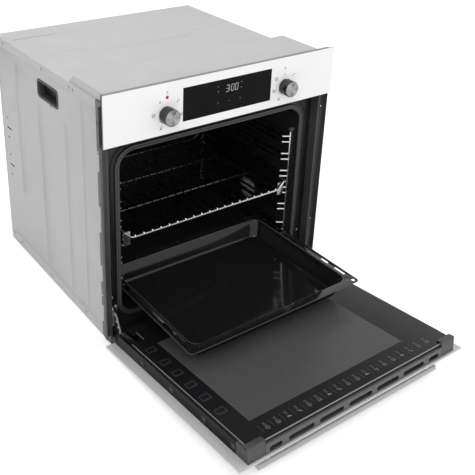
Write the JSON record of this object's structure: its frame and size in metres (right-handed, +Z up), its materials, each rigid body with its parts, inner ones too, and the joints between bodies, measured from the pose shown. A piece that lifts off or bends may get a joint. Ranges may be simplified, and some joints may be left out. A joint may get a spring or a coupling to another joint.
{
  "type": "wall oven",
  "caption": "Built-in oven with white glass control panel, two knobs, drop-down glass door shown open, pull-out baking tray and wire shelf on rails.",
  "frame": {"origin": "middle of the front edge of the underside of the base plate, in the plane of the cabinet front", "axes": "+Z up, -Y out of the front towards the user, +X to the user's right"},
  "size_m": [0.595, 1.0283, 0.595],
  "materials": {
    "zinc_sheet": "satin galvanised sheet",
    "black_enamel": "gloss enamel",
    "dark_paint": "satin",
    "cavity_enamel": "gloss speckled enamel",
    "seal_rubber": "matt",
    "mineral_wool": "matt fibre",
    "plain_steel": "satin",
    "motor_paint": "satin",
    "element_steel": "satin",
    "chrome_wire": "polished",
    "clear_glass": "clear",
    "black_plastic": "matt",
    "pale_plastic": "matt",
    "circuit_green": "satin",
    "display_black": "gloss",
    "white_glass": "gloss white back-painted glass",
    "red_lens": "gloss",
    "screw_steel": "satin",
    "door_glass": "gloss white back-painted glass, seen from behind as pale grey",
    "tinted_glass": "tinted with a dot print",
    "door_steel": "satin",
    "handle_metal": "satin",
    "tray_enamel": "gloss enamel",
    "knob_metal": "brushed face"
  },
  "bodies": {
    "housing": {"base_plate": "zinc_sheet", "left_side_panel": "zinc_sheet", "right_side_panel": "zinc_sheet", "top_cover": "zinc_sheet", "rear_panel": "zinc_sheet", "front_frame": "black_enamel", "left_frame_trim": "dark_paint", "right_frame_trim": "dark_paint", "cavity": "cavity_enamel", "door_seal": "seal_rubber", "insulation": "mineral_wool", "fan_cover": "cavity_enamel", "fan_motor": "motor_paint", "ring_element": "element_steel", "grill_element": "element_steel", "bottom_element": "element_steel", "blower_housing": "plain_steel", "blower_motor": "motor_paint", "left_rack": "chrome_wire", "right_rack": "chrome_wire", "rack_studs": "plain_steel", "lamp_housing": "plain_steel", "lamp_bulb": "clear_glass", "lamp_cover": "clear_glass", "grip_cups": "black_plastic", "terminal_block": "pale_plastic", "cable_gland": "seal_rubber", "control_board": "circuit_green", "display_module": "display_black", "mode_switch": "pale_plastic", "thermostat": "pale_plastic", "fascia_carrier": "black_plastic", "fascia_glass": "white_glass", "display_window": "display_black", "indicator_lens": "red_lens", "left_hinge_arm": "plain_steel", "right_hinge_arm": "plain_steel", "fixed_rails": "plain_steel", "housing_screws": "screw_steel", "frame_screws": "screw_steel"},
    "door": {"outer_glass": "door_glass", "middle_glass": "clear_glass", "inner_glass": "tinted_glass", "left_door_profile": "door_steel", "right_door_profile": "door_steel", "vent_trim": "dark_paint", "left_end_cap": "dark_paint", "right_end_cap": "dark_paint", "bottom_profile": "door_steel", "handle_bar": "handle_metal", "handle_posts": "handle_metal", "left_hinge_body": "plain_steel", "right_hinge_body": "plain_steel"},
    "tray": {"baking_tray": "tray_enamel"},
    "shelf": {"wire_shelf": "chrome_wire", "sliding_rails": "plain_steel"},
    "mode_knob": {"left_knob": "knob_metal"},
    "heat_knob": {"right_knob": "knob_metal"},
    "hot_air_fan": {"convection_fan": "plain_steel"},
    "cooling_fan": {"cooling_rotor": "plain_steel"}
  },
  "joints": [
    {"name": "door_hinge", "type": "hinge", "parent": "housing", "child": "door", "pos_m": [0, -0.012, 0.012], "axis": [-1, 0, 0], "range_deg": [0, 1.2]},
    {"name": "tray_slide", "type": "slide", "parent": "housing", "child": "tray", "axis": [0, 1, 0], "range_m": [0, 0.295]},
    {"name": "shelf_slide", "type": "slide", "parent": "housing", "child": "shelf", "axis": [0, 1, 0], "range_m": [-0.3, 0]},
    {"name": "mode_turn", "type": "hinge", "parent": "housing", "child": "mode_knob", "pos_m": [-0.155, -0.03, 0.528], "axis": [0, 1, 0], "range_deg": [-150, 150]},
    {"name": "heat_turn", "type": "hinge", "parent": "housing", "child": "heat_knob", "pos_m": [0.155, -0.03, 0.528], "axis": [0, 1, 0], "range_deg": [0, 290]},
    {"name": "hot_air_spin", "type": "hinge", "parent": "housing", "child": "hot_air_fan", "pos_m": [0, 0.42, 0.253], "axis": [0, 1, 0], "continuous": true},
    {"name": "cooling_spin", "type": "hinge", "parent": "housing", "child": "cooling_fan", "pos_m": [0, 0.424, 0.509], "axis": [1, 0, 0], "continuous": true}
  ]
}
